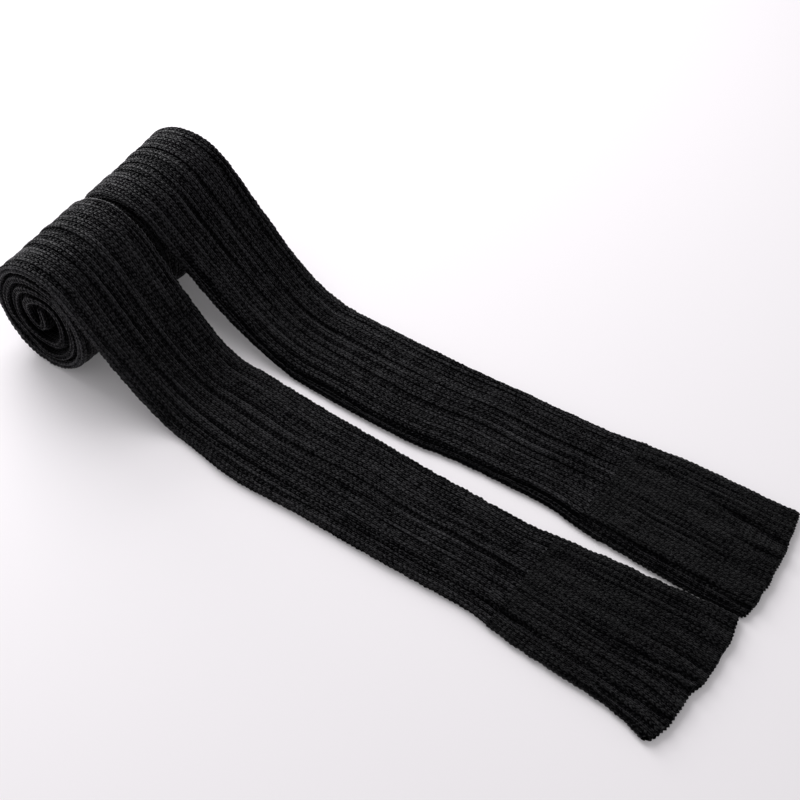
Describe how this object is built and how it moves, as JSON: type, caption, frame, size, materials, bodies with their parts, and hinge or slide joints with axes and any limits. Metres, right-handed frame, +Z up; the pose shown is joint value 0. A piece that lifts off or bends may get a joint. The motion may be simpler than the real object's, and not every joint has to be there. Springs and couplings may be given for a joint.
{
  "type": "pair of leg warmers",
  "caption": "Pair of extra long ribbed knit leg warmers lying flat side by side, each with a smooth flared cuff and its upper part rolled up.",
  "frame": {"origin": "middle of the bounding box, on the surface that the pair lies on", "axes": "+X from the rolls to the open cuffs, +Y from the near leg warmer to the far one, +Z up"},
  "size_m": [0.6016, 0.22, 0.106],
  "materials": {
    "rib_knit": "soft matt ribbed knit of charcoal black yarn",
    "cuff_knit": "soft matt plain knit of charcoal black yarn"
  },
  "bodies": {
    "root": {"near_cuff": "cuff_knit", "near_leg": "rib_knit", "near_outer_turn": "rib_knit", "near_roll_core": "rib_knit", "far_cuff": "cuff_knit", "far_leg": "rib_knit", "far_outer_turn": "rib_knit", "far_roll_core": "rib_knit"}
  },
  "joints": []
}
